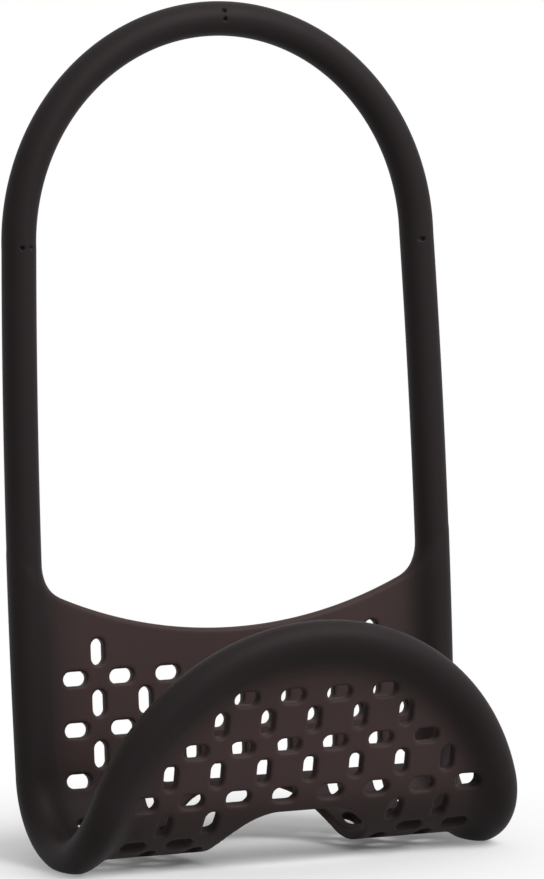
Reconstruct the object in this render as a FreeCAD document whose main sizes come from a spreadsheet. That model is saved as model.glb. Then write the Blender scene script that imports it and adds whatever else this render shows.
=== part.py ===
import FreeCAD, Part
import math
import os

import Sketcher
from FreeCAD import Placement, Rotation, Vector

# Sponge holder: a soft sling with a rolled rim, hung on a bendable loop.
#
# The sling is one sheet bent like the letter J. Its rim is a round roll that runs up both
# sides of the back as the legs of the loop and closes over the top as an arch. A wire core
# lies in the legs and the arch, hooks round both feet, and lets the loop be bent by hand.
#
# +Z is up, -Y is the front, X runs along the trough. The origin lies on the floor, under
# the middle of the whole holder.
#
# "Flat" is the distance along the sheet from the trough's bottom line, before it was bent:
# positive up the front, negative up the back.

doc = FreeCAD.newDocument("sponge_holder")

DIMENSIONS = (
    ("tube_diameter", 7.8, "roll of the rim and jacket of the loop, outside"),
    ("loop_half_width", 51.0, "middle of the holder to the centre line of a foot"),
    ("loop_narrowing", 1.0, "how far each leg comes in from the foot to the arch"),
    ("leg_bow", 0.85, "how far each leg stands outside that line, half way up"),
    ("arch_half_width", "=loop_half_width - loop_narrowing", "radius of the arch"),
    ("leg_length", 116.9, "leg, from the end of the bottom bend to the arch"),
    ("bend_radius", 17.0, "bottom bend, to the middle of the sheet"),
    ("back_lean_angle", 5.0, "degrees that the back and the loop lean back"),
    ("front_lean_angle", 10.0, "degrees that the front panel leans forward"),
    ("foot_wrap_angle", 26.5, "degrees from the bottom line to the start of the front arc"),
    ("foot_flat", 0.4, "depth of the flat under each foot"),
    ("sheet_thickness", 2.6, "perforated sheet"),
    ("core_diameter", 2.5, "wire core"),
    ("slot_length", 6.0, "drain slot, end to end"),
    ("slot_width", 3.3, "drain slot"),
    ("slot_pitch", 11.5, "slots of one row, and rows of one direction"),
    ("slot_margin", 7.5, "least distance of a slot's middle from the rim's centre line"),
    ("edge_margin", 7.0, "least distance of a slot's middle from the back panel's top edge"),
    ("drain_margin", 4.0, "least distance of a slot's middle from the drain opening"),
    ("drain_width", 37.5, "drain opening across the trough's bottom, along X"),
    ("drain_length", 37.6, "drain opening along the sheet, front to back"),
    ("drain_corner", 12.5, "corner radius of the drain opening on the flat sheet"),
    ("back_rise_middle", 30.0, "back panel's top edge at its middle, above the bend"),
    ("back_rise_side", 42.0, "back panel's top edge at the legs, above the bend"),
    ("neck_height", 55.0, "lowest place where the loop bends, along the leg"),
    ("bend_zone_share", 0.1938611, "share of the leg above the neck that curves at each bend"),
    ("bend_zone", "=(leg_length - neck_height) * bend_zone_share", "the same, as a length"),
    ("arch_stub", 1.9, "leg between the highest bend and the arch"),
    ("shoulder_height", "=leg_length - arch_stub - bend_zone / 2", "highest place where the loop bends"),
    ("middle_height", "=(neck_height + shoulder_height) / 2", "the bend between these two"),
    ("overrun", 2.0, "how far a cutter stands past what it cuts"),
)

sheet = doc.addObject("Spreadsheet::Sheet", "dims")
for row, (alias, value, meaning) in enumerate(DIMENSIONS, start=1):
    sheet.set(f"A{row}", meaning)
    sheet.set(f"B{row}", str(value))
    sheet.setAlias(f"B{row}", alias)
doc.recompute()


def size(alias):
    """The value of one driving dimension."""
    return float(sheet.get(alias))


# Values that follow from the driving dimensions.
TUBE_RADIUS = size("tube_diameter") / 2
HALF_WIDTH = size("loop_half_width")
BEND_RADIUS = size("bend_radius")
HALF_SHEET = size("sheet_thickness") / 2
HALF_PITCH = size("slot_pitch") / 2
OVERRUN = size("overrun")
BEND_HEIGHT = BEND_RADIUS + TUBE_RADIUS - size("foot_flat")
FRONT_ANGLE = 90 - size("front_lean_angle")
BACK_ANGLE = 90 - size("back_lean_angle")
FRONT_FLAT = BEND_RADIUS * math.radians(FRONT_ANGLE)
BACK_FLAT = BEND_RADIUS * math.radians(BACK_ANGLE)
ARC_FLAT = BEND_RADIUS * math.radians(size("foot_wrap_angle"))
DRAIN_HALF_LENGTH = size("drain_length") / 2
DRAIN_HALF_WIDTH = size("drain_width") / 2
DRAIN_ANGLE = math.degrees(DRAIN_HALF_LENGTH / BEND_RADIUS)
# The sheet's sides end inside the roll of the rim, and are then cut back to its surface.
SHEET_HALF_WIDTH = HALF_WIDTH - TUBE_RADIUS / 2

X_AXIS = Vector(1, 0, 0)
BEND_CENTRE = Vector(0, 0, BEND_HEIGHT)
LEFT, RIGHT = "left", "right"
SIGNS = {LEFT: -1, RIGHT: 1}


def sheet_frame(flat):
    """Placement on the middle of the sheet: X along the trough, Y up the front, Z outwards."""
    angle = math.degrees(flat / BEND_RADIUS)
    angle = min(max(angle, -BACK_ANGLE), FRONT_ANGLE)
    turn = Rotation(X_AXIS, 180 - angle)
    straight = flat - BEND_RADIUS * math.radians(angle)
    point = BEND_CENTRE + turn.multVec(Vector(0, straight, BEND_RADIUS))
    return Placement(point, turn)


def on_sheet(x, flat, outwards=0.0):
    """The point at x and flat, a distance outwards from the middle of the sheet."""
    return sheet_frame(flat).multVec(Vector(x, 0, outwards))


# The legs stand on the back end of the bottom bend: Z along the leg, X as on the holder.
LEG_FRAME = Placement(on_sheet(0, -BACK_FLAT), Rotation(-X_AXIS, size("back_lean_angle")))
FRONT_REACH = on_sheet(0, ARC_FLAT + HALF_WIDTH).y - TUBE_RADIUS
LOOP_TOP = size("leg_length") + size("arch_half_width")
BACK_REACH = LEG_FRAME.multVec(Vector(0, 0, LOOP_TOP)).y + TUBE_RADIUS
TO_ORIGIN = Placement(Vector(0, -(FRONT_REACH + BACK_REACH) / 2, 0), Rotation())

parts = []


def keep(piece, label):
    """Name a finished piece and add it to the ones that are written."""
    piece.Label = label
    parts.append(piece)
    return piece


def feature(label, shape):
    """A piece whose shape is worked out here from the driving dimensions."""
    piece = doc.addObject("Part::Feature", label)
    piece.Shape = shape
    piece.Placement = TO_ORIGIN
    return keep(piece, label)


# Straight and bent lengths of the loop, drawn in the frame of the legs. Each leg bows out and
# then comes in on its way up: its rings stay level, and every length is drawn out aslant.

def aside(height):
    """The leg's distance from the holder's middle at a height along it, as an expression."""
    up = f"(({height}) / dims.leg_length)"
    bow = f"4 * dims.leg_bow * {up} * (1 - {up})"
    return f"(dims.loop_half_width - dims.loop_narrowing * {up} + {bow})"


def leg_body(name):
    """An empty body standing in the frame of the legs."""
    body = doc.addObject("PartDesign::Body", name)
    body.Placement = TO_ORIGIN * LEG_FRAME
    return body


def ring_sketch(body, side, height, outside, bore=None):
    """Circles about the leg's centre line, in the level plane at a height along it."""
    sketch = body.newObject("Sketcher::SketchObject", body.Name + "_ring")
    planes = body.Origin.OriginFeatures
    ground = next(plane for plane in planes if plane.Role == "XY_Plane")
    sketch.AttachmentSupport = [(ground, "")]
    sketch.MapMode = "FlatFace"
    sketch.setExpression(".AttachmentOffset.Base.x", f"{SIGNS[side]} * {aside(height)}")
    sketch.setExpression(".AttachmentOffset.Base.z", height)
    for name, alias in (("outside", outside), ("bore", bore)):
        if alias is None:
            continue
        circle = sketch.addGeometry(Part.Circle(Vector(), Vector(0, 0, 1), size(alias) / 2))
        sketch.addConstraint(Sketcher.Constraint("Coincident", circle, 3, -1, 1))
        limit = sketch.addConstraint(Sketcher.Constraint("Diameter", circle, size(alias)))
        sketch.renameConstraint(limit, name)
        sketch.setExpression("Constraints." + name, "dims." + alias)
    return sketch


def pad(body, side, start, length, *rings):
    """Draw rings out along the leg of one side, from one height as far as the length."""
    sketch = ring_sketch(body, side, start, *rings)
    solid = body.newObject("PartDesign::Pad", sketch.Name + "_pad")
    solid.Profile = sketch
    solid.UseCustomVector = True
    solid.AlongSketchNormal = True
    solid.Direction = Vector(0, 0, 1)
    outwards = f"{aside(start + ' + ' + length)} - {aside(start)}"
    solid.setExpression("Direction.x", f"{SIGNS[side]} * ({outwards}) / ({length})")
    solid.setExpression("Length", length)
    return solid


def turned(body, sketch, angle, offset, vertical=False):
    """Turn a sketch about a line beside it: one along X, or along Y if it is vertical."""
    ahead = Vector(0, 1, 0) if vertical else X_AXIS
    start = Vector(-size(offset), 0, 0) if vertical else Vector(0, -size(offset), 0)
    line = Part.LineSegment(start, start + ahead * size("tube_diameter"))
    axis = sketch.addGeometry(line, True)
    sketch.addConstraint(Sketcher.Constraint("Vertical" if vertical else "Horizontal", axis))
    across = "DistanceX" if vertical else "DistanceY"
    reach = sketch.addConstraint(Sketcher.Constraint(across, axis, 1, -1, 1, size(offset)))
    sketch.renameConstraint(reach, "reach")
    sketch.setExpression("Constraints.reach", "dims." + offset)
    solid = body.newObject("PartDesign::Revolution", sketch.Name + "_turn")
    solid.Profile = sketch
    solid.ReferenceAxis = (sketch, ["Axis0"])
    solid.setExpression("Angle", angle)
    solid.Reversed = True
    return solid


def leg_piece(label, side, start, length, outside, bore=None):
    """One straight length of jacket or core."""
    body = leg_body(label)
    pad(body, side, start, length, outside, bore)
    return keep(body, label)


JACKET = ("tube_diameter", "core_diameter")
CORE = ("core_diameter",)
BENDS = ("neck", "middle", "shoulder")
LENGTHS = {"lower": ("neck", "middle"), "upper": ("middle", "shoulder")}
ROOT_LENGTH = "dims.neck_height - dims.bend_zone / 2"
FOOT_SWEEP = "90 - dims.back_lean_angle + dims.foot_wrap_angle"

for side in (LEFT, RIGHT):
    leg_piece(f"{side}_leg_root", side, "0", ROOT_LENGTH, *JACKET)
    for bend in BENDS:
        low = f"dims.{bend}_height - dims.bend_zone / 2"
        leg_piece(f"{side}_{bend}_sleeve", side, low, "dims.bend_zone", *JACKET)
        leg_piece(f"{side}_{bend}_core", side, low, "dims.bend_zone", *CORE)
    for length, (below, above) in LENGTHS.items():
        low = f"dims.{below}_height + dims.bend_zone / 2"
        run = f"dims.{above}_height - dims.{below}_height - dims.bend_zone"
        leg_piece(f"{side}_{length}_leg", side, low, run, *JACKET)
        leg_piece(f"{side}_{length}_core", side, low, run, *CORE)

    hook = leg_body(f"{side}_core_hook")
    pad(hook, side, "0", ROOT_LENGTH, *CORE)
    turned(hook, ring_sketch(hook, side, "0", *CORE), FOOT_SWEEP, "bend_radius")
    keep(hook, f"{side}_core_hook")

# Each foot is the roll of the rim going round the bottom bend, flat where it stands.
for side in (LEFT, RIGHT):
    bend = leg_body(f"{side}_foot_bend")
    turned(bend, ring_sketch(bend, side, "0", *JACKET), FOOT_SWEEP, "bend_radius")
    ground = doc.addObject("Part::Box", f"{side}_ground")
    ground.setExpression("Length", "2 * dims.loop_half_width")
    ground.setExpression("Width", "4 * dims.bend_radius")
    ground.setExpression("Height", "dims.bend_radius")
    ground.setExpression(".Placement.Base.x", "-2 * dims.loop_half_width" if side == LEFT else "0")
    ground.setExpression(".Placement.Base.y", "-2 * dims.bend_radius")
    ground.setExpression(".Placement.Base.z", "-dims.bend_radius")
    foot = doc.addObject("Part::Cut", f"{side}_foot")
    foot.Base = bend
    foot.Tool = ground
    keep(foot, f"{side}_foot")

ARCH_START = "dims.shoulder_height + dims.bend_zone / 2"
ARCH_STUB = "dims.arch_stub"
for label, rings in (("loop_arch", JACKET), ("arch_core", CORE)):
    arch = leg_body(label)
    ring = ring_sketch(arch, RIGHT, "dims.leg_length", *rings)
    turned(arch, ring, "180", "arch_half_width", vertical=True)
    for side in (LEFT, RIGHT):
        pad(arch, side, ARCH_START, ARCH_STUB, *rings)
    keep(arch, label)


# The front rim: the same roll along an arc of the front panel, led into the feet.

def arc_of_roll(start, ahead, end):
    """A length of roll along the arc that leaves start in the direction ahead and ends at end."""
    chord = end - start
    normal = ahead.cross(chord).normalize()
    inwards = normal.cross(ahead)
    radius = chord.Length ** 2 / (2 * chord.dot(inwards))
    angle = 2 * math.degrees(math.atan2(chord.dot(inwards), chord.dot(ahead)))
    face = Part.Face(Part.Wire(Part.makeCircle(TUBE_RADIUS, start, ahead)))
    return face.revolve(start + inwards * radius, normal, angle)


def double_arc(start, ahead, end, arriving):
    """Two arcs of roll that join smoothly, from one point and direction to another."""
    chord = end - start
    both = ahead + arriving
    parting = 2 * (1 - ahead.dot(arriving))
    along = chord.dot(both)
    reach = (math.sqrt(along ** 2 + parting * chord.dot(chord)) - along) / parting
    middle = (start + end + (ahead - arriving) * reach) / 2
    turn = (middle - start - ahead * reach).normalize()
    return [arc_of_roll(start, ahead, middle), arc_of_roll(middle, turn, end)]


def front_rim():
    """The arc over the front panel, and on both sides the double arc down to the foot."""
    above = FRONT_FLAT - ARC_FLAT
    half_chord = math.sqrt(HALF_WIDTH ** 2 - above ** 2)
    panel_up = sheet_frame(FRONT_FLAT).Rotation.multVec(Vector(0, 1, 0))
    foot_ahead = sheet_frame(ARC_FLAT).Rotation.multVec(Vector(0, 1, 0))
    pieces = []
    for sign in SIGNS.values():
        foot_end = on_sheet(sign * HALF_WIDTH, ARC_FLAT)
        arc_end = on_sheet(sign * half_chord, FRONT_FLAT)
        rising = X_AXIS * (-sign * above / HALF_WIDTH) + panel_up * (half_chord / HALF_WIDTH)
        pieces += double_arc(foot_end, foot_ahead, arc_end, rising)
        pieces.append(arc_of_roll(arc_end, rising, on_sheet(0, ARC_FLAT + HALF_WIDTH)))
    return pieces[0].multiFuse(pieces[1:]).removeSplitter()


rim = front_rim()
feature("front_rim", rim)


# The perforated sheet: front panel, back panel and the two halves of the trough's floor.

def bent_strip(low_angle, high_angle, left, right):
    """A strip of the bottom bend between two angles and two places along X."""
    middle = BEND_HEIGHT - BEND_RADIUS
    low, high = middle - HALF_SHEET, middle + HALF_SHEET
    corners = [Vector(x, 0, z) for x, z in ((left, low), (right, low), (right, high), (left, high))]
    face = Part.Face(Part.makePolygon(corners + corners[:1]))
    face.rotate(BEND_CENTRE, X_AXIS, -low_angle)
    return face.revolve(BEND_CENTRE, X_AXIS, low_angle - high_angle)


def plate(outline, frame, normal):
    """A plane part of the sheet, as thick as the sheet, from its outline in a frame."""
    face = Part.Face(Part.Wire(Part.__sortEdges__(outline)))
    face.translate(normal * -HALF_SHEET)
    solid = face.extrude(normal * (2 * HALF_SHEET))
    solid.Placement = frame
    return solid


def front_plate():
    """The plane part of the front panel, out to the rim's centre line."""
    above = FRONT_FLAT - ARC_FLAT
    half_chord = math.sqrt(HALF_WIDTH ** 2 - above ** 2)
    left, right = Vector(-half_chord, 0, 0), Vector(half_chord, 0, 0)
    top = Vector(0, HALF_WIDTH - above, 0)
    edges = [Part.LineSegment(left, right).toShape(), Part.Arc(right, top, left).toShape()]
    return plate(edges, sheet_frame(FRONT_FLAT), Vector(0, 0, 1))


def back_plate():
    """The plane part of the back panel, whose top edge dips between the legs."""
    side, middle = size("back_rise_side"), size("back_rise_middle")
    left, right = Vector(-SHEET_HALF_WIDTH, 0, 0), Vector(SHEET_HALF_WIDTH, 0, 0)
    rise = Vector(0, 0, side)
    edges = [Part.LineSegment(*ends).toShape()
             for ends in ((left, right), (right, right + rise), (left + rise, left))]
    edges.append(Part.Arc(right + rise, Vector(0, 0, middle), left + rise).toShape())
    return plate(edges, LEG_FRAME, Vector(0, 1, 0))


def slot_cutter(x, flat, lengthwise):
    """A round-ended slot through the sheet, along X if it is lengthwise."""
    radius = size("slot_width") / 2
    half = size("slot_length") / 2 - radius
    along = Vector(half, 0, 0) if lengthwise else Vector(0, half, 0)
    beside = Vector(0, radius, 0) if lengthwise else Vector(radius, 0, 0)
    tip = along + along.normalize() * radius
    along = along * (half / along.Length)
    edges = [Part.LineSegment(beside - along, beside + along).toShape(),
             Part.Arc(beside + along, tip, along - beside).toShape(),
             Part.LineSegment(along - beside, -along - beside).toShape(),
             Part.Arc(-along - beside, -tip, beside - along).toShape()]
    face = Part.Face(Part.Wire(edges))
    depth = Vector(0, 0, HALF_SHEET + OVERRUN)
    face.translate(-depth)
    solid = face.extrude(depth * 2)
    solid.Placement = sheet_frame(flat) * Placement(Vector(x, 0, 0), Rotation())
    return solid


def room_to_rim(x, flat):
    """Distance on the flat sheet to the rim's centre line."""
    if flat > ARC_FLAT:
        return HALF_WIDTH - math.hypot(x, flat - ARC_FLAT)
    return HALF_WIDTH - abs(x)


def room_to_drain(x, flat):
    """Distance on the flat sheet to the drain opening, a square with round corners."""
    corner = size("drain_corner")
    across = abs(x) - DRAIN_HALF_WIDTH + corner
    along = abs(flat) - DRAIN_HALF_LENGTH + corner
    outside = math.hypot(max(across, 0), max(along, 0))
    return outside + min(max(across, along), 0) - corner


def room_to_edge(x, flat):
    """Distance up the back to the panel's top edge."""
    side, middle = size("back_rise_side"), size("back_rise_middle")
    edge = middle + (side - middle) * (x / SHEET_HALF_WIDTH) ** 2
    return edge + BACK_FLAT + flat


def slot_places():
    """Every slot as x, flat and direction: rows of two directions, each half a pitch on."""
    reach = math.ceil((2 * HALF_WIDTH + max(ARC_FLAT, BACK_FLAT)) / HALF_PITCH)
    for row in range(-reach, reach + 1):
        lengthwise = row % 2 == 0
        for column in range(-reach, reach + 1):
            if (row + column) % 2 == 0:
                continue
            x, flat = column * HALF_PITCH, row * HALF_PITCH
            if (room_to_rim(x, flat) >= size("slot_margin")
                    and room_to_drain(x, flat) >= size("drain_margin")
                    and room_to_edge(x, flat) >= size("edge_margin")):
                yield x, flat, lengthwise


def drain_cutter():
    """The drain opening, cut straight through from front to back."""
    corner = size("drain_corner")
    inner = DRAIN_HALF_WIDTH - corner

    def height(flat, outwards=HALF_SHEET):
        return on_sheet(0, flat, outwards).z

    start = DRAIN_HALF_LENGTH - corner
    turn = math.sqrt(2) / 2
    reach = BEND_RADIUS + HALF_SHEET + OVERRUN

    def point(x, z):
        return Vector(x, -reach, z)

    roof = height(DRAIN_HALF_LENGTH, -HALF_SHEET) + OVERRUN
    shoulder = height(start + corner * turn)
    bottom = -OVERRUN
    edges = []
    for sign in SIGNS.values():
        low, high = sign * DRAIN_HALF_WIDTH, sign * inner
        middle = sign * (inner + corner * turn)
        edges.append(Part.LineSegment(point(low, bottom), point(low, height(start))).toShape())
        edges.append(Part.Arc(point(low, height(start)), point(middle, shoulder),
                              point(high, height(DRAIN_HALF_LENGTH))).toShape())
        edges.append(Part.LineSegment(point(high, height(DRAIN_HALF_LENGTH)),
                                      point(high, roof)).toShape())
    for half, z in ((inner, roof), (DRAIN_HALF_WIDTH, bottom)):
        edges.append(Part.LineSegment(point(-half, z), point(half, z)).toShape())
    face = Part.Face(Part.Wire(Part.__sortEdges__(edges)))
    return face.extrude(Vector(0, 2 * reach, 0))


def roll_of_side(sign):
    """The roll of one side without its bore: the foot and the leg's root above it."""
    foot = LEG_FRAME.multVec(Vector(sign * HALF_WIDTH, 0, 0))
    up = LEG_FRAME.Rotation.multVec(Vector(0, 0, 1))
    ring = Part.Face(Part.Wire(Part.makeCircle(TUBE_RADIUS, foot, up)))
    bend = ring.revolve(BEND_CENTRE, X_AXIS, -(BACK_ANGLE + size("foot_wrap_angle")))
    length = size("neck_height") - size("bend_zone") / 2
    share = length / size("leg_length")
    outwards = 4 * size("leg_bow") * share * (1 - share) - size("loop_narrowing") * share
    root = ring.extrude(up * length + X_AXIS * (sign * outwards))
    return [bend, root]


rolls = [rim] + roll_of_side(SIGNS[LEFT]) + roll_of_side(SIGNS[RIGHT])
slots = list(slot_places())


def perforated(solid, low, high):
    """Cut the slots between two flat distances, and the roll of the rim, out of a sheet."""
    reach = size("slot_length")
    cutters = [slot_cutter(*slot) for slot in slots if low - reach < slot[1] < high + reach]
    return solid.cut(cutters).cut(rolls).removeSplitter()


wide = (-SHEET_HALF_WIDTH, SHEET_HALF_WIDTH)
front = front_plate().fuse(bent_strip(DRAIN_ANGLE, FRONT_ANGLE, *wide))
back = back_plate().fuse(bent_strip(-BACK_ANGLE, -DRAIN_ANGLE, *wide))
feature("front_panel", perforated(front, DRAIN_HALF_LENGTH, ARC_FLAT + HALF_WIDTH))
feature("back_panel", perforated(back, -BACK_FLAT - HALF_WIDTH, -DRAIN_HALF_LENGTH))
drain = drain_cutter()
for side, ends in ((LEFT, (-SHEET_HALF_WIDTH, 0)), (RIGHT, (0, SHEET_HALF_WIDTH))):
    floor = bent_strip(-DRAIN_ANGLE, DRAIN_ANGLE, *ends).cut(drain)
    feature(f"{side}_trough_floor", perforated(floor, -DRAIN_HALF_LENGTH, DRAIN_HALF_LENGTH))

doc.recompute()

for item in doc.Objects:
    if "Invalid" in item.State or "Error" in item.State:
        raise RuntimeError(f"{item.Label} failed: {item.State}")

os.makedirs("parts", exist_ok=True)
for piece in parts:
    shape = piece.Shape
    if shape.isNull() or not shape.isValid():
        raise RuntimeError(f"{piece.Label} has no valid shape")
    if len(shape.Solids) != 1:
        raise RuntimeError(f"{piece.Label} has {len(shape.Solids)} solids")
    shape.exportStep(f"parts/{piece.Label}.step")
    print(f"{piece.Label}: {shape.Volume:.1f} mm3")

box = Part.makeCompound([piece.Shape for piece in parts]).optimalBoundingBox(False)
print(f"{len(parts)} pieces, {len(slots)} slots")
print(f"{box.XLength:.1f} x {box.YLength:.1f} x {box.ZLength:.1f} mm,",
      f"from {box.XMin:.2f} {box.YMin:.2f} {box.ZMin:.2f} to {box.XMax:.2f} {box.YMax:.2f} {box.ZMax:.2f}")
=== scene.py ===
# %% [markdown]
# # A sponge holder on a bendable loop
#
# The real holder is one soft black moulding. A perforated sheet is bent like the letter J into
# a trough, a round roll edges it, and on both sides of the back the roll goes on upwards as a
# tall closed loop with a wire inside. The imported CAD part is the frame: its four bodies are
# joined where the loop bends. The pieces made here stand in for them, and they are hidden.

# %% Load the frame
import math

import bmesh
import bpy
import numpy as np
from mathutils import Matrix, Vector


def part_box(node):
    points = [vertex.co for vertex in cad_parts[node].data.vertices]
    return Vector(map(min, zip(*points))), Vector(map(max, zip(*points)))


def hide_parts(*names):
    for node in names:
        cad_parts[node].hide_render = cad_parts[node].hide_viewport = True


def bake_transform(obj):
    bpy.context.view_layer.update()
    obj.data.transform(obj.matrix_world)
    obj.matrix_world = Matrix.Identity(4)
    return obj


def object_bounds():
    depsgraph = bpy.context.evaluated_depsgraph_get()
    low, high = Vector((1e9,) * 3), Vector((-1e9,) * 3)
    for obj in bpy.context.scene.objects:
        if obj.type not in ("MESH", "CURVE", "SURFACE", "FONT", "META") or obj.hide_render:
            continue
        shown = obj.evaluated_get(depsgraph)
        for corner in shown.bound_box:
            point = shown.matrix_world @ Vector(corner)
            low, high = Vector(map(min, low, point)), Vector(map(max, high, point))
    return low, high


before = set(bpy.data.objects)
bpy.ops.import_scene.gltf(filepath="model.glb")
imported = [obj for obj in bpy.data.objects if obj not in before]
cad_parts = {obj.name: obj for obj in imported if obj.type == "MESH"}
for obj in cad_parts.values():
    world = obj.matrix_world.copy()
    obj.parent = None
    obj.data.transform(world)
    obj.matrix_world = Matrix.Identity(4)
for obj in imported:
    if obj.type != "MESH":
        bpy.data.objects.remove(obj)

CAD_BOX = [list(corner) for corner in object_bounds()]

# %% [markdown]
# ## Measures
#
# The moulding is easiest to think of as it would lie on a table before it was bent: a flat
# pattern, with x along the trough and "flat" along the sheet, from 0 on the bottom line up the
# front, and down to negative numbers up the back. Lengths are in millimetres here and become
# metres when a piece is folded into place.

# %% Sizes of the moulding
MM = 0.001
ROLL_RADIUS = 3.9
WIRE_RADIUS = 1.25
HALF_WIDTH = 51.0
NARROWING, BOW = 1.0, 0.85
ARCH_RADIUS = HALF_WIDTH - NARROWING
LEG_LENGTH = 116.9
BEND_RADIUS = 17.0
HALF_SHEET = 1.3
FOOT_FLAT = 0.4
BACK_ANGLE = math.radians(85.0)
FRONT_ANGLE = math.radians(80.0)
FOOT_WRAP = math.radians(26.5)
NECK, MIDDLE, SHOULDER = 55.0, 82.0, 109.0

BACK_FLAT = BEND_RADIUS * BACK_ANGLE
ARC_FLAT = BEND_RADIUS * FOOT_WRAP
BEND_HEIGHT = BEND_RADIUS + ROLL_RADIUS - FOOT_FLAT
LOOP_TOP = LEG_LENGTH + ARCH_RADIUS
ARCH_REACH = BEND_RADIUS * math.sin(BACK_ANGLE) + LOOP_TOP * math.cos(BACK_ANGLE) + ROLL_RADIUS
FEET_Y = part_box("loop_arch")[1].y / MM - ARCH_REACH
print(f"front panel up to {ARC_FLAT + HALF_WIDTH:.1f} mm, feet {FEET_Y:.2f} mm from the origin")

# %% [markdown]
# ## Folding the flat pattern
#
# A sheet bent round one line keeps its lengths, so the fold is a simple rule: go round the
# bottom bend as far as its angle allows, then on in a straight line. The same rule carries the
# sheet, its roll and the whole loop, which lies in the plane of the back.

# %% Fold


def folded(x, flat, out):
    """Points of the flat pattern in the holder's frame, in metres.

    The angle round the bend is flat / radius, held between the back's and the front's angle.
    A point is the bend's centre, plus radius and out along the outward normal, plus what is
    left of flat along the sheet.
    """
    angle = np.clip(flat / BEND_RADIUS, -BACK_ANGLE, FRONT_ANGLE)
    straight = flat - BEND_RADIUS * angle
    reach = BEND_RADIUS + out
    y = FEET_Y - np.sin(angle) * reach - np.cos(angle) * straight
    z = BEND_HEIGHT - np.cos(angle) * reach + np.sin(angle) * straight
    return np.stack(np.broadcast_arrays(x, y, z), axis=-1) * MM


def leg_point(height):
    """The point between the legs at a height along them, in metres."""
    return Vector(folded(0.0, -BACK_FLAT - height, 0.0))


def side_line(flat):
    """Distance of a side's centre line from the middle: the legs bow out, then come in.

    At a share of the leg's length this is the half width, less the narrowing times the share,
    plus a parabola that is 0 at both ends and the bow half way.
    """
    share = np.clip(-BACK_FLAT - flat, 0, LEG_LENGTH) / LEG_LENGTH
    return HALF_WIDTH - NARROWING * share + 4 * BOW * share * (1 - share)


print("top of the arch:", [round(v, 4) for v in leg_point(LOOP_TOP)])

# %% [markdown]
# ## Where the slots and the drain opening go
#
# Water drains through rows of short round-ended slots. Rows of slots that lie along the trough
# take turns with rows that stand across it, half a pitch on, so the webs between them make a
# basket pattern. Slots keep clear of the rim, of the large opening in the bottom and of the
# back's top edge. They are worked out by that rule and not listed one by one.

# %% Slots
HALF_PITCH = 5.75
SLOT_RADIUS = 1.65
SLOT_HALF_RUN = 1.35
SLOT_MARGIN, EDGE_MARGIN, DRAIN_MARGIN = 7.5, 7.0, 4.0
DRAIN_HALF_WIDTH, DRAIN_HALF_LENGTH, DRAIN_CORNER = 18.75, 18.8, 12.5
EDGE_MIDDLE, EDGE_SIDE, EDGE_HALF_WIDTH = 30.0, 42.0, 49.05
COLUMNS, ROWS = 12, 14


def inside_rim(x, flat):
    """Distance inside the rim's centre line: half a circle on top of the two side lines."""
    in_circle = HALF_WIDTH - np.hypot(x, flat - ARC_FLAT)
    return np.where(flat > ARC_FLAT, in_circle, side_line(flat) - np.abs(x))


def above_back_edge(x, flat):
    """Distance above the back's top edge, an arc that dips between the legs."""
    dip = EDGE_SIDE - EDGE_MIDDLE
    radius = (EDGE_HALF_WIDTH ** 2 + dip ** 2) / (2 * dip)
    return radius - np.hypot(x, flat + BACK_FLAT + EDGE_MIDDLE + radius)


def outside_drain(x, flat):
    """Distance outside the drain opening, a rectangle with round corners."""
    across = np.abs(x) - DRAIN_HALF_WIDTH + DRAIN_CORNER
    along = np.abs(flat) - DRAIN_HALF_LENGTH + DRAIN_CORNER
    corner = np.hypot(np.maximum(across, 0), np.maximum(along, 0))
    return corner + np.minimum(np.maximum(across, along), 0) - DRAIN_CORNER


def slot_places():
    """Middle of every slot, and whether it lies along the trough, as three arrays."""
    column, row = np.meshgrid(np.arange(-COLUMNS, COLUMNS + 1), np.arange(-ROWS, ROWS + 1))
    x, flat = column * HALF_PITCH, row * HALF_PITCH
    keep = (column + row) % 2 == 1
    keep &= inside_rim(x, flat) >= SLOT_MARGIN
    keep &= outside_drain(x, flat) >= DRAIN_MARGIN
    keep &= above_back_edge(x, flat) <= -EDGE_MARGIN
    return x[keep], flat[keep], row[keep] % 2 == 0


SLOTS = slot_places()
print(len(SLOTS[0]), "slots")

# %% [markdown]
# ## The moulding as a distance
#
# The sheet runs into its roll with a soft hollow, and every slot has rounded lips. No function
# of two parameters gives a skin with nearly a hundred holes, and a boolean leaves the lips
# sharp. So the solid is described the other way round: a function says how far any point is
# from the skin, negative inside. Union, cut and rounding are then short formulas on distances.

# %% Distance to the skin
FILLET = 5.0
LIP_ROUND = 0.55
EDGE_ROUND = 1.1


def softly_joined(a, b, reach):
    """Union of two solids with a hollow fillet: the smaller distance, eased within reach."""
    share = np.clip(0.5 + 0.5 * (b - a) / reach, 0, 1)
    return b + (a - b) * share - reach * share * (1 - share)


def rounded_cut(a, b, radius):
    """What lies in both solids, with the edge between their walls rounded to a radius."""
    corner = np.hypot(np.maximum(a + radius, 0), np.maximum(b + radius, 0))
    return corner + np.minimum(np.maximum(a, b) + radius, 0) - radius


def outside_slots(x, flat):
    """Distance outside the nearest slot: distance to its middle line, less its radius."""
    nearest = np.full(np.broadcast(x, flat).shape, np.inf)
    for slot_x, slot_flat, lengthwise in zip(*SLOTS):
        across, along = np.abs(x - slot_x), np.abs(flat - slot_flat)
        run, side = (across, along) if lengthwise else (along, across)
        nearest = np.minimum(nearest, np.hypot(np.maximum(run - SLOT_HALF_RUN, 0), side))
    return nearest - SLOT_RADIUS


def holes(x, flat):
    """Distance outside every hole in the sheet."""
    return np.minimum(outside_slots(x, flat), outside_drain(x, flat))


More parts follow.
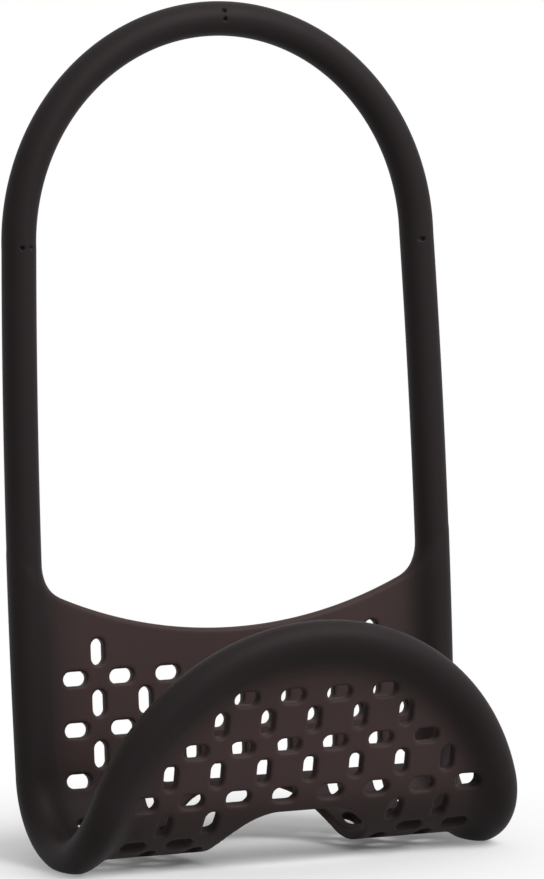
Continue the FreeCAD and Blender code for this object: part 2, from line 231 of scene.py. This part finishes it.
def skin_distance(x, flat, out, clear):
    """Distance to the moulding's skin; clear is the distance outside its holes."""
    inside = inside_rim(x, flat)
    roll = np.hypot(inside, out) - ROLL_RADIUS
    outline = np.maximum(-inside, above_back_edge(x, flat))
    sheet = rounded_cut(outline, np.abs(out) - HALF_SHEET, EDGE_ROUND)
    solid = rounded_cut(softly_joined(roll, sheet, FILLET), -clear, LIP_ROUND)
    floor = -folded(x, flat, out)[..., 2] / MM
    return rounded_cut(solid, floor, FOOT_FLAT)


depth = skin_distance(0.0, ARC_FLAT + HALF_WIDTH, 0.0, clear=SLOT_MARGIN)
print(f"distance in the middle of the rim: {float(depth):.2f} mm")

# %% [markdown]
# ## From a distance to a mesh
#
# The distance is sampled on a box of points round the flat pattern. Each small cell that the
# skin passes through gets one vertex, and each grid edge that it crosses gets the four-sided
# face between the cells around it. This is done to whole arrays, so it takes seconds.

# %% Vertices and faces from cells
CELL = 0.6


def cell_vertices(values, axes):
    """One point per crossed cell: the mean of where the skin cuts the cell's twelve edges."""
    corners = {}
    for i in (0, 1):
        for j in (0, 1):
            for k in (0, 1):
                window = tuple(slice(s, n - 1 + s) for s, n in zip((i, j, k), values.shape))
                corners[i, j, k] = values[window]
    total = np.zeros(corners[0, 0, 0].shape + (3,))
    count = np.zeros(corners[0, 0, 0].shape)
    for start in corners:
        for axis in range(3):
            if start[axis]:
                continue
            end = tuple(1 if n == axis else v for n, v in enumerate(start))
            low, high = corners[start], corners[end]
            crossed = (low < 0) != (high < 0)
            share = np.where(crossed, low / np.where(crossed, low - high, 1), 0)
            for n in range(3):
                total[..., n] += np.where(crossed, share if n == axis else start[n], 0)
            count += crossed
    used = count > 0
    index = np.full(used.shape, -1)
    index[used] = np.arange(used.sum())
    base = np.stack(np.nonzero(used), axis=-1)
    place = base + total[used] / count[used][:, None]
    steps = np.array([axis[1] - axis[0] for axis in axes])
    return np.array([axis[0] for axis in axes]) + place * steps, index


def cell_faces(values, index):
    """A four-sided face for every crossed grid edge, turned so that it faces outwards."""
    faces = []
    for axis in range(3):
        side, up = (axis + 1) % 3, (axis + 2) % 3
        window = [slice(1, -1)] * 3
        window[axis] = slice(0, -1)
        low = values[tuple(window)]
        window[axis] = slice(1, None)
        high = values[tuple(window)]
        place = np.stack(np.nonzero((low < 0) != (high < 0)), axis=-1)
        outwards = low[tuple(place.T)] < 0
        place[:, [n for n in range(3) if n != axis]] += 1
        ring = []
        for shift_side, shift_up in ((0, 0), (-1, 0), (-1, -1), (0, -1)):
            cell = place.copy()
            cell[:, side] += shift_side
            cell[:, up] += shift_up
            ring.append(index[tuple(cell.T)])
        ring = np.stack(ring, axis=-1)
        faces.append(np.where(outwards[:, None], ring, ring[:, ::-1]))
    return np.concatenate(faces)


print(f"cells of {CELL} mm")

# %% [markdown]
# The mesh of the cells is rough: its vertices bunch up where the skin runs slantwise through
# the grid. So each vertex is moved towards the middle of its neighbours, which evens the faces
# out, and then back onto the skin along the slope of the distance.

# %% Evening out
SLOPE_STEP = 0.01
LEAST_SLOPE = 0.25


def skin_at(points):
    """The distance at a list of points of the flat pattern."""
    x, flat, out = points.T
    return skin_distance(x, flat, out, holes(x, flat))


def onto_skin(points, steps):
    """Move points along the slope of the distance until they lie on the skin."""
    for _ in range(steps):
        here = skin_at(points)
        slope = np.empty_like(points)
        for n in range(3):
            ahead = points.copy()
            ahead[:, n] += SLOPE_STEP
            slope[:, n] = (skin_at(ahead) - here) / SLOPE_STEP
        steep = np.maximum((slope ** 2).sum(axis=1), LEAST_SLOPE)
        move = np.clip(here / steep, -CELL / 2, CELL / 2)
        points = points - slope * move[:, None]
    return points


def evened(points, faces, share):
    """Move every point a share of the way to the mean of its neighbours."""
    pairs = np.concatenate([faces[:, [n, (n + 1) % 4]] for n in range(4)])
    total = np.zeros_like(points)
    for here, there in (pairs.T, pairs.T[::-1]):
        for n in range(3):
            total[:, n] += np.bincount(here, points[there, n], len(points))
    count = np.bincount(pairs.ravel(), minlength=len(points))
    return points + share * (total / count[:, None] - points)


print(f"slopes are taken over {SLOPE_STEP} mm")

# %% [markdown]
# ## The sling with its rim, feet and leg roots
#
# This is the part that holds the sponge, and nearly all that shows in a close view. It goes up
# both legs past the lowest bend, so no seam shows where the legs leave the back. The legs are
# then cut off square, where the next jacket goes on.

# %% Sling skin
NECK_SEAM = (NECK + MIDDLE) / 2
SHOULDER_SEAM = (MIDDLE + SHOULDER) / 2
OVERRUN = 2.0
SMOOTHINGS, SMOOTHING_SHARE, SKIN_STEPS = 3, 0.5, 2


def new_piece(name, mesh):
    """An object at the origin for a finished mesh."""
    mesh.shade_smooth()
    piece = bpy.data.objects.new(name, mesh)
    bpy.context.scene.collection.objects.link(piece)
    return piece


def sling_skin():
    """The moulding up to the first seam, as points and faces."""
    reach = ROLL_RADIUS + 2 * CELL
    width = HALF_WIDTH + BOW + reach
    cut, front = -BACK_FLAT - NECK_SEAM - OVERRUN, ARC_FLAT + HALF_WIDTH + reach
    ends = ((-width, width), (cut, front), (-reach, reach))
    axes = [np.linspace(low, high, math.ceil((high - low) / CELL)) for low, high in ends]
    x, flat, out = np.meshgrid(*axes, indexing="ij", sparse=True)
    values = skin_distance(x, flat, out, holes(x, flat))
    points, index = cell_vertices(values, axes)
    faces = cell_faces(values, index)
    points = onto_skin(points, SKIN_STEPS)
    for _ in range(SMOOTHINGS):
        points = onto_skin(evened(points, faces, SMOOTHING_SHARE), SKIN_STEPS)
    return onto_skin(points, SKIN_STEPS), faces


def cut_square(mesh, height):
    """Cut a mesh off at a height along the legs, and close the ends with sharp edges."""
    work = bmesh.new()
    work.from_mesh(mesh)
    along = leg_point(1.0) - leg_point(0.0)
    everything = work.verts[:] + work.edges[:] + work.faces[:]
    bmesh.ops.bisect_plane(work, geom=everything, plane_co=leg_point(height), plane_no=along,
                           clear_outer=True)
    loose = [vertex for vertex in work.verts if not vertex.link_faces]
    bmesh.ops.delete(work, geom=loose, context="VERTS")
    rims = [edge for edge in work.edges if edge.is_boundary]
    for edge in rims:
        edge.smooth = False
    bmesh.ops.holes_fill(work, edges=rims)
    work.to_mesh(mesh)
    work.free()


sling_points, sling_faces = sling_skin()
sling_mesh = bpy.data.meshes.new("sling_skin")
sling_mesh.from_pydata(folded(*sling_points.T), [], sling_faces)
cut_square(sling_mesh, NECK_SEAM)
sling = new_piece("sling_skin", sling_mesh)
print("sling skin:", len(sling_mesh.vertices), "points,", len(sling_mesh.polygons), "faces")

# %% [markdown]
# ## The jacket of the loop
#
# Above the sling the moulding is a plain round jacket on the wire, so here a profile carried
# along a path is enough: a circle whose centre runs up a leg, along its slight bow.

# %% Rolls
SIDES = {"left": -1, "right": 1}
AROUND = 96
RING_STEP = 1.0


def roll_surface(x, flat, side_x, side_flat, radius, sink=None):
    """A circle of a radius carried along a path of the flat pattern, as a grid of points.

    At an angle round the roll, a point is the path, plus the cosine times the radius along the
    path's side direction, plus the sine times the radius outwards from the sheet.
    """
    turn = np.linspace(0, 2 * np.pi, AROUND, endpoint=False)
    width = radius if sink is None else radius - sink(turn)
    across, out = width * np.cos(turn), width * np.sin(turn)
    ring_x = x[:, None] + side_x[:, None] * across
    ring_flat = flat[:, None] + side_flat[:, None] * across
    return folded(ring_x, ring_flat, out)


def roll_piece(name, points):
    """A closed tube from a grid of points: four-sided faces round it, and a flat at each end."""
    rings, around = points.shape[:2]
    index = np.arange(rings * around).reshape(rings, around)
    after = np.roll(index, -1, axis=1)
    sides = np.stack([index[:-1], after[:-1], after[1:], index[1:]], axis=-1).reshape(-1, 4)
    caps = [index[0, ::-1].tolist(), index[-1].tolist()]
    mesh = bpy.data.meshes.new(name)
    mesh.from_pydata(points.reshape(-1, 3), [], sides.tolist() + caps)
    ends = np.zeros(rings * around, bool)
    ends[index[[0, -1]]] = True
    pairs = np.empty(2 * len(mesh.edges), np.int32)
    mesh.edges.foreach_get("vertices", pairs)
    sharp = mesh.attributes.new("sharp_edge", "BOOLEAN", "EDGE")
    sharp.data.foreach_set("value", ends[pairs].reshape(-1, 2).all(axis=1))
    work = bmesh.new()
    work.from_mesh(mesh)
    bmesh.ops.recalc_face_normals(work, faces=work.faces)
    work.to_mesh(mesh)
    work.free()
    print(name, "with", rings, "rings")
    return new_piece(name, mesh)


def leg_roll(name, side, flats, radius):
    """A roll on the centre line of one leg or foot, at the given flats."""
    x = SIDES[side] * side_line(flats)
    across, along = np.ones(len(flats)), np.zeros(len(flats))
    return roll_piece(name, roll_surface(x, flats, across, along, radius))


def stations(low, high, step):
    """Evenly spaced places from low to high, about a step apart."""
    return np.linspace(low, high, math.ceil(abs(high - low) / step) + 1)


LEG_FLATS = -BACK_FLAT - stations(NECK_SEAM, SHOULDER_SEAM, RING_STEP)
leg_jackets = {side: leg_roll(f"{side}_leg_jacket", side, LEG_FLATS, ROLL_RADIUS) for side in SIDES}

# %% [markdown]
# ## The arch
#
# The arch's path is one run: up the left leg from the seam, round half a circle, and down the
# right leg. Its side direction is the one away from the arch's middle, so the circle never
# twists, and both ends fit the leg jackets ring to ring. Three pairs of tiny pits show where
# pins held the wire in the mould, at both ends of the arch and at its top. Rings are packed
# closely there, so that the pits are real hollows in the mesh. A pair is given by its place
# along the run. Each of its pits has an angle round the roll, as a share of half a turn, and a
# share of the full depth.

# %% Arch
STUB = LEG_LENGTH - SHOULDER_SEAM
HALF_ARC = math.pi * ARCH_RADIUS
PIT_STEP = 0.2
PIT_RADIUS, PIT_DEPTH, PIT_ZONE = 0.52, 0.85, 2.4
PITS = {"left": (STUB + 0.6, ((-0.425, 1.0), (-0.610, 0.6))),
        "top": (STUB + HALF_ARC / 2 + 1.4, ((-0.518, 1.0), (-0.343, 1.0))),
        "right": (STUB + HALF_ARC + 1.6, ((-0.525, 1.0), (-0.590, 0.3)))}


def arch_path(run):
    """Path and side direction of the loop's top at distances along it from the left seam."""
    turn = np.clip((run - STUB) / ARCH_RADIUS, 0, math.pi)
    below = np.maximum(STUB - run, 0) + np.maximum(run - STUB - HALF_ARC, 0)
    side_x, rise = -np.cos(turn), np.sin(turn)
    flat = -BACK_FLAT - LEG_LENGTH + below - ARCH_RADIUS * rise
    return side_line(flat) * side_x, flat, side_x, -rise


def pit_depth(run):
    """Depth of the pin marks: the root of 1 less the squared share of their radius."""
    def sink(turn):
        depth = np.zeros((len(run), len(turn)))
        for place, marks in PITS.values():
            for angle, share in marks:
                around = (turn - angle * math.pi + math.pi) % (2 * math.pi) - math.pi
                away = np.hypot((run - place)[:, None], around[None, :] * ROLL_RADIUS) / PIT_RADIUS
                depth += share * PIT_DEPTH * np.clip(1 - away ** 2, 0, 1) ** 0.5
        return depth
    return sink


def arch_stations():
    """Distances along the loop's top, packed closely round the pin marks."""
    coarse = stations(0, 2 * STUB + HALF_ARC, RING_STEP)
    places = [place for place, _ in PITS.values()]
    fine = [stations(place - PIT_ZONE / 2, place + PIT_ZONE / 2, PIT_STEP) for place in places]
    far = np.all([np.abs(coarse - place) > PIT_ZONE / 2 + PIT_STEP for place in places], axis=0)
    return np.sort(np.concatenate([coarse[far]] + fine))


runs = arch_stations()
arch_surface = roll_surface(*arch_path(runs), ROLL_RADIUS, pit_depth(runs))
loop_jacket = roll_piece("loop_jacket", arch_surface)

# %% [markdown]
# ## The wire
#
# The wire is hidden, but it is there: it hooks round both feet and runs through the legs and
# the arch. It is made as the jackets are, only thinner.

# %% Wire
HOOK_FLATS = stations(ARC_FLAT, -BACK_FLAT - NECK_SEAM, RING_STEP)
hook_wires = {side: leg_roll(f"{side}_hook_wire", side, HOOK_FLATS, WIRE_RADIUS) for side in SIDES}
leg_wires = {side: leg_roll(f"{side}_leg_wire", side, LEG_FLATS, WIRE_RADIUS) for side in SIDES}
wire_path = arch_path(stations(0, 2 * STUB + HALF_ARC, RING_STEP))
loop_wire = roll_piece("loop_wire", roll_surface(*wire_path, WIRE_RADIUS))

# %% [markdown]
# ## What each piece stands for
#
# Each piece is baked in place, and the CAD nodes that it stands for are hidden. The seams lie
# half way between two bends, where nothing turns.

# %% Bodies
BEND_REACH = 6.0


def bends_with(piece, height, nodes):
    """Bake a piece's place into its mesh and hide the CAD nodes that it stands for; the points a
    reach below and above the bend at a height are worked out but not used.
    """
    leg_point(height - BEND_REACH)
    leg_point(height + BEND_REACH)
    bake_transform(piece)
    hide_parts(*nodes)


def side_nodes(sides, *parts):
    """Names of the CAD nodes that the given sides have."""
    return [f"{side}_{part}" for side in sides for part in parts]


sling_nodes = ["front_panel", "back_panel", "front_rim"]
sling_nodes += side_nodes(SIDES, "trough_floor", "foot", "leg_root", "neck_sleeve")
bends_with(sling, NECK, sling_nodes)
arch_nodes = ["loop_arch"] + side_nodes(SIDES, "shoulder_sleeve")
bends_with(loop_jacket, SHOULDER, arch_nodes)
arch_cores = ["arch_core"] + side_nodes(SIDES, "shoulder_core")
bends_with(loop_wire, SHOULDER, arch_cores)
for side in SIDES:
    leg_nodes = side_nodes([side], "lower_leg", "middle_sleeve", "upper_leg")
    leg_cores = side_nodes([side], "lower_core", "middle_core", "upper_core")
    hook_cores = side_nodes([side], "core_hook", "neck_core")
    bends_with(leg_jackets[side], MIDDLE, leg_nodes)
    bends_with(leg_wires[side], MIDDLE, leg_cores)
    bends_with(hook_wires[side], NECK, hook_cores)
hidden = [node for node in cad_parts.values() if node.hide_render]
print("hidden CAD nodes:", len(hidden), "of", len(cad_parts))

# %% [markdown]
# ## Writing shader maths in Python
#
# A finish is a small network of nodes. To keep it readable, a socket is wrapped in a class whose
# operators add Math nodes, and one method adds any other node.

# %% Sockets that can be calculated with


class Value:
    """A node's output that can be used in sums and products."""

    def __init__(self, tree, socket):
        self.tree = tree
        self.socket = socket

    def node(self, kind, settings=None, output=0, **inputs):
        """Add a node: its settings first, then the values or links of its sockets."""
        return add_node(self.tree, kind, settings, output, **inputs)

    def math(self, operation, first, second):
        """Add a Math node with two inputs."""
        return self.node("ShaderNodeMath", {"operation": operation}, i0=first, i1=second)

    def mixed(self, first, second, blend="MIX"):
        """A colour between two colours, by this value."""
        settings = {"data_type": "RGBA", "blend_type": blend}
        return self.node("ShaderNodeMix", settings, output=2, i0=self, i6=first, i7=second)

    def __add__(self, other):
        return self.math("ADD", self, other)

    def __mul__(self, other):
        return self.math("MULTIPLY", self, other)

    __radd__ = __add__
    __rmul__ = __mul__


def add_node(tree, kind, settings=None, output=0, **inputs):
    """Add any node. Sockets are named as i and their number, or by their name in the node."""
    node = tree.nodes.new(kind)
    for name, value in (settings or {}).items():
        setattr(node, name, value)
    for name, value in inputs.items():
        key = int(name[1:]) if name[1:].isdigit() else name.replace("_", " ")
        socket = node.inputs[key]
        if isinstance(value, Value):
            tree.links.new(value.socket, socket)
        else:
            socket.default_value = value
    return Value(tree, node.outputs[output]) if node.outputs else None


def new_finish(name):
    """An empty material, and its node tree."""
    finish = bpy.data.materials.new(name)
    finish.use_nodes = True
    finish.node_tree.nodes.clear()
    return finish, finish.node_tree


def close_finish(tree, shader):
    """Link a shader to the material's output."""
    add_node(tree, "ShaderNodeOutputMaterial", Surface=shader)


print("shader helpers ready")

# %% [markdown]
# ## Soft black elastomer
#
# The moulding is matt black with a soft sheen. Its skin has a very fine grain from the mould,
# and handling has polished it a little here and there, so the roughness drifts. The thin sheet
# gets painted light: it looks browner than the solid roll, a colour that stands in for light
# shining through it, put in by a mask kept with the mesh. The same mask paints shade along the
# rim and near the bottom line.

# %% Elastomer
ROLL_COLOUR = (0.0206, 0.0153, 0.0159, 1)
# Painted light: this brown colour stands in for light that shines through the thin sheet.
PAINTED_GLOW_COLOUR = (0.063, 0.0415, 0.0395, 1)
WORN_COLOUR = (0.55, 0.53, 0.52, 1)
DRIFT_WEAR, GRAIN_WEAR = 0.25, 0.25
DRIFT_SCALE, GRAIN_SCALE = 45.0, 2600.0
GRAIN_STRENGTH, GRAIN_HEIGHT = 0.35, 0.00006
LEAST_ROUGHNESS, ROUGHNESS_DRIFT = 0.49, 0.16
# Painted shade: the glow is held back in a band along the rim and dimmed near the bottom line.
GLOW_EDGE, GLOW_REACH, GLOW_POWER = 3.0, 5.5, 1.5
DARK_FLAT, BRIGHT_FLAT = 14.0, 30.0
DARK_SHARE, BRIGHT_SHARE = 0.45, 0.55


def painted_glow_share(mesh):
    """Keep with the mesh a mask of painted light through the thin sheet: 0 on the roll, 1 well
    inside.

    The share rises with the distance inside the rim, as 1 less a falling exponential of a power
    of that distance, so that shade is painted along the rim, and it is lower near the bottom line,
    where less painted light comes through.
    """
    points = np.empty(3 * len(mesh.vertices))
    mesh.vertices.foreach_get("co", points)
    points = points.reshape(-1, 3) / MM
    y, z = points[:, 1] - FEET_Y, points[:, 2] - BEND_HEIGHT
    angle = np.clip(np.arctan2(-y, -z), -BACK_ANGLE, FRONT_ANGLE)
    along = -np.cos(angle) * y + np.sin(angle) * z
    flat = BEND_RADIUS * angle + along
    depth = inside_rim(points[:, 0], flat)
    share = 1 - np.exp(-(np.maximum(depth - GLOW_EDGE, 0) / GLOW_REACH) ** GLOW_POWER)
    rise = np.clip((np.abs(flat) - DARK_FLAT) / (BRIGHT_FLAT - DARK_FLAT), 0, 1)
    share *= DARK_SHARE + BRIGHT_SHARE * rise * rise * (3 - 2 * rise)
    glow_mask = mesh.attributes.new("painted_glow_share", "FLOAT", "POINT")
    glow_mask.data.foreach_set("value", share)


def elastomer(name, with_painted_glow):
    """The moulding's finish; with the painted glow, the painted light through the thin sheet comes
    in by its mask.
    """
    finish, tree = new_finish(name)
    place = add_node(tree, "ShaderNodeTexCoord", output="Object")
    drift = place.node("ShaderNodeTexNoise", Vector=place, Scale=DRIFT_SCALE, Detail=3.0,
                       Roughness=0.6)
    grain = place.node("ShaderNodeTexNoise", Vector=place, Scale=GRAIN_SCALE, Detail=2.0,
                       Roughness=0.5)
    colour = ROLL_COLOUR
    if with_painted_glow:
        # Painted light: the mask brings in the sheet's brown glow, which stands in for light
        # shining through it.
        glow_mask = place.node("ShaderNodeAttribute", {"attribute_name": "painted_glow_share"}, output="Fac")
        colour = glow_mask.mixed(ROLL_COLOUR, PAINTED_GLOW_COLOUR)
    shade = DRIFT_WEAR * drift + GRAIN_WEAR * grain
    worn = shade.mixed(colour, WORN_COLOUR, "MULTIPLY")
    bump = place.node("ShaderNodeBump", Strength=GRAIN_STRENGTH, Distance=GRAIN_HEIGHT,
                      Height=grain)
    roughness = LEAST_ROUGHNESS + ROUGHNESS_DRIFT * drift
    shader = place.node("ShaderNodeBsdfPrincipled", Base_Color=worn, Roughness=roughness,
                        IOR=1.41, Specular_IOR_Level=0.15, Normal=bump)
    close_finish(tree, shader)
    return finish


# Painted light: a mask of the sheet's glow and of the shade along the rim, kept with the sling's
# mesh.
painted_glow_share(sling.data)
sling.data.materials.append(elastomer("elastomer_with_painted_glow", True))
jacket_finish = elastomer("jacket_elastomer", False)
for piece in (loop_jacket, *leg_jackets.values()):
    piece.data.materials.append(jacket_finish)
print("elastomer on", 2 + len(leg_jackets), "pieces")

# %% [markdown]
# ## Drawn wire
#
# Soft steel wire is grey and dull, with fine lines along it from the die that it was drawn
# through. A noise that is stretched along the leg gives those lines.

# %% Wire finish
STEEL_COLOUR = (0.55, 0.55, 0.56, 1)
LINES_ACROSS, LINES_ALONG = 3000.0, 40.0
LINE_STRENGTH, LINE_HEIGHT = 0.3, 0.00002
WIRE_SMOOTH, WIRE_DULL = 0.3, 0.25


def drawn_wire():
    """Grey steel whose roughness and height follow a noise stretched upwards."""
    finish, tree = new_finish("drawn_wire")
    place = add_node(tree, "ShaderNodeTexCoord", output="Object")
    stretch = (LINES_ACROSS, LINES_ACROSS, LINES_ALONG)
    stretched = place.node("ShaderNodeMapping", Vector=place, Scale=stretch)
    lines = place.node("ShaderNodeTexNoise", Vector=stretched, Scale=1.0, Detail=2.0)
    bump = place.node("ShaderNodeBump", Strength=LINE_STRENGTH, Distance=LINE_HEIGHT, Height=lines)
    shader = place.node("ShaderNodeBsdfPrincipled", Base_Color=STEEL_COLOUR, Metallic=1.0,
                        Roughness=WIRE_SMOOTH + WIRE_DULL * lines, Normal=bump)
    close_finish(tree, shader)
    return finish


wire_finish = drawn_wire()
for piece in (loop_wire, *hook_wires.values(), *leg_wires.values()):
    piece.data.materials.append(wire_finish)
print("wire finish on", 1 + len(hook_wires) + len(leg_wires), "pieces")

# %% [markdown]
# ## Floor and light
#
# The photograph is a plain studio picture: a white floor that runs into a white background. The
# floor is lit paper near the holder, so the shadow under it stays, and turns into plain white
# further away. Camera and mirrors see it like that. Other light meets a grey table there, which
# throws little of it back up at the black rolls.

# %% Floor
FLOOR_REACH = 6.0
FLOOR_WHITE = (0.97, 0.97, 0.97, 1)
FLOOR_GREY = (0.35, 0.35, 0.35, 1)
PLAIN_WHITE = (1, 1, 1, 1)
PAPER_EDGE, WHITE_EDGE, LEAST_WHITE = 0.02, 0.12, 0.05


def shown_rays(tree):
    """1 for rays from the camera and for those that a mirror or glass sends on, otherwise 0."""
    kinds = ("Is Camera Ray", "Is Glossy Ray", "Is Transmission Ray")
    seen, mirrored, through = (add_node(tree, "ShaderNodeLightPath", output=kind) for kind in kinds)
    return seen.math("MAXIMUM", seen, seen.math("MAXIMUM", mirrored, through))


def floor_finish():
    """Lit paper that turns into plain white away from the holder; unseen, a grey table."""
    finish, tree = new_finish("white_paper")
    seen = shown_rays(tree)
    place = add_node(tree, "ShaderNodeTexCoord", output="Object")
    away = place.node("ShaderNodeVectorMath", {"operation": "LENGTH"}, output="Value", i0=place)
    share = place.node("ShaderNodeMapRange", {"interpolation_type": "SMOOTHSTEP"}, i0=away,
                       i1=PAPER_EDGE, i2=WHITE_EDGE, i3=LEAST_WHITE, i4=1.0)
    paper = place.node("ShaderNodeBsdfDiffuse", Color=FLOOR_WHITE)
    white = place.node("ShaderNodeEmission", Color=PLAIN_WHITE, Strength=1.0)
    shown = place.node("ShaderNodeMixShader", i0=share, i1=paper, i2=white)
    table = place.node("ShaderNodeBsdfDiffuse", Color=FLOOR_GREY)
    close_finish(tree, place.node("ShaderNodeMixShader", i0=seen, i1=table, i2=shown))
    return finish


floor_mesh = bpy.data.meshes.new("floor")
corners = [(FLOOR_REACH * x, FLOOR_REACH * y, 0) for x, y in ((-1, -1), (1, -1), (1, 1), (-1, 1))]
floor_mesh.from_pydata(corners, [], [(0, 1, 2, 3)])
floor = new_piece("floor", floor_mesh)
floor_mesh.materials.append(floor_finish())
print("floor", 2 * FLOOR_REACH, "m wide")

# %% [markdown]
# Two large soft lamps light the holder: one in front, above and to the right, and a weak one
# overhead. Each is given by its place in metres, its width and its power in watts. The
# background is plain white where it is seen, and a dim soft light elsewhere.

# %% Lamps and background
HOLDER_MIDDLE = (Vector(CAD_BOX[0]) + Vector(CAD_BOX[1])) / 2
LAMPS = {"key": ((0.58, -0.93, 1.17), 1.0, 21.0), "top": ((0.1, -0.1, 1.7), 1.6, 2.6)}
DIM_LIGHT, SEEN_LIGHT = 0.33, 0.67


def add_lamp(name, place, width, power):
    """A square soft lamp that faces the holder."""
    lamp = bpy.data.lights.new(name, "AREA")
    lamp.energy, lamp.size = power, width
    item = bpy.data.objects.new(name, lamp)
    item.location = place
    item.rotation_euler = (HOLDER_MIDDLE - Vector(place)).to_track_quat("-Z", "Y").to_euler()
    bpy.context.scene.collection.objects.link(item)


def white_world():
    """A world that lights softly and is plain white where it is seen."""
    world = bpy.data.worlds.new("studio")
    world.use_nodes = True
    tree = world.node_tree
    tree.nodes.clear()
    strength = DIM_LIGHT + SEEN_LIGHT * shown_rays(tree)
    backdrop = add_node(tree, "ShaderNodeBackground", Color=PLAIN_WHITE, Strength=strength)
    add_node(tree, "ShaderNodeOutputWorld", Surface=backdrop)
    bpy.context.scene.world = world


for name, (place, width, power) in LAMPS.items():
    add_lamp(name, place, width, power)
white_world()
bpy.context.scene.view_settings.view_transform = "Standard"
print(len(LAMPS), "lamps")

# %% [markdown]
# ## Camera
#
# The camera stands a little above the holder and to its left, far away with a long lens, as in
# a product picture. Its place follows from a yaw, a pitch, a distance and where in the picture
# the floor between the feet appears.

# %% Camera
PICTURE = (544, 879)
YAW, PITCH, ROLL = math.radians(27.13), math.radians(7.29), math.radians(0.334)
DISTANCE = 2000.0
PIXELS_PER_MM = 4.4639
FEET_PIXEL = (271.24, 856.05)
SENSOR = 36.0
NEAREST, FARTHEST = 0.05, 50.0


def add_camera():
    """A camera turned by yaw, pitch and roll, which sees the feet at their pixel."""
    level = Vector((-math.sin(YAW), -math.cos(YAW), 0))
    back = level * math.cos(PITCH) + Vector((0, 0, math.sin(PITCH)))
    flat_right = Vector((math.cos(YAW), -math.sin(YAW), 0))
    flat_up = back.cross(flat_right)
    right = flat_right * math.cos(ROLL) + flat_up * math.sin(ROLL)
    up = flat_up * math.cos(ROLL) - flat_right * math.sin(ROLL)
    focal = PIXELS_PER_MM * DISTANCE
    aside, above = FEET_PIXEL[0] - PICTURE[0] / 2, PICTURE[1] / 2 - FEET_PIXEL[1]
    feet = Vector((0, FEET_Y, -FOOT_FLAT))
    place = (feet - (-back + right * (aside / focal) + up * (above / focal)) * DISTANCE) * MM
    data = bpy.data.cameras.new("camera")
    data.sensor_width = SENSOR
    data.lens = focal * SENSOR / max(PICTURE)
    data.clip_start, data.clip_end = NEAREST, FARTHEST
    item = bpy.data.objects.new("camera", data)
    turn = Matrix((right, up, back)).transposed().to_4x4()
    item.matrix_world = Matrix.Translation(place) @ turn
    bpy.context.scene.collection.objects.link(item)
    bpy.context.scene.camera = item
    return data


print("lens", round(add_camera().lens), "mm")
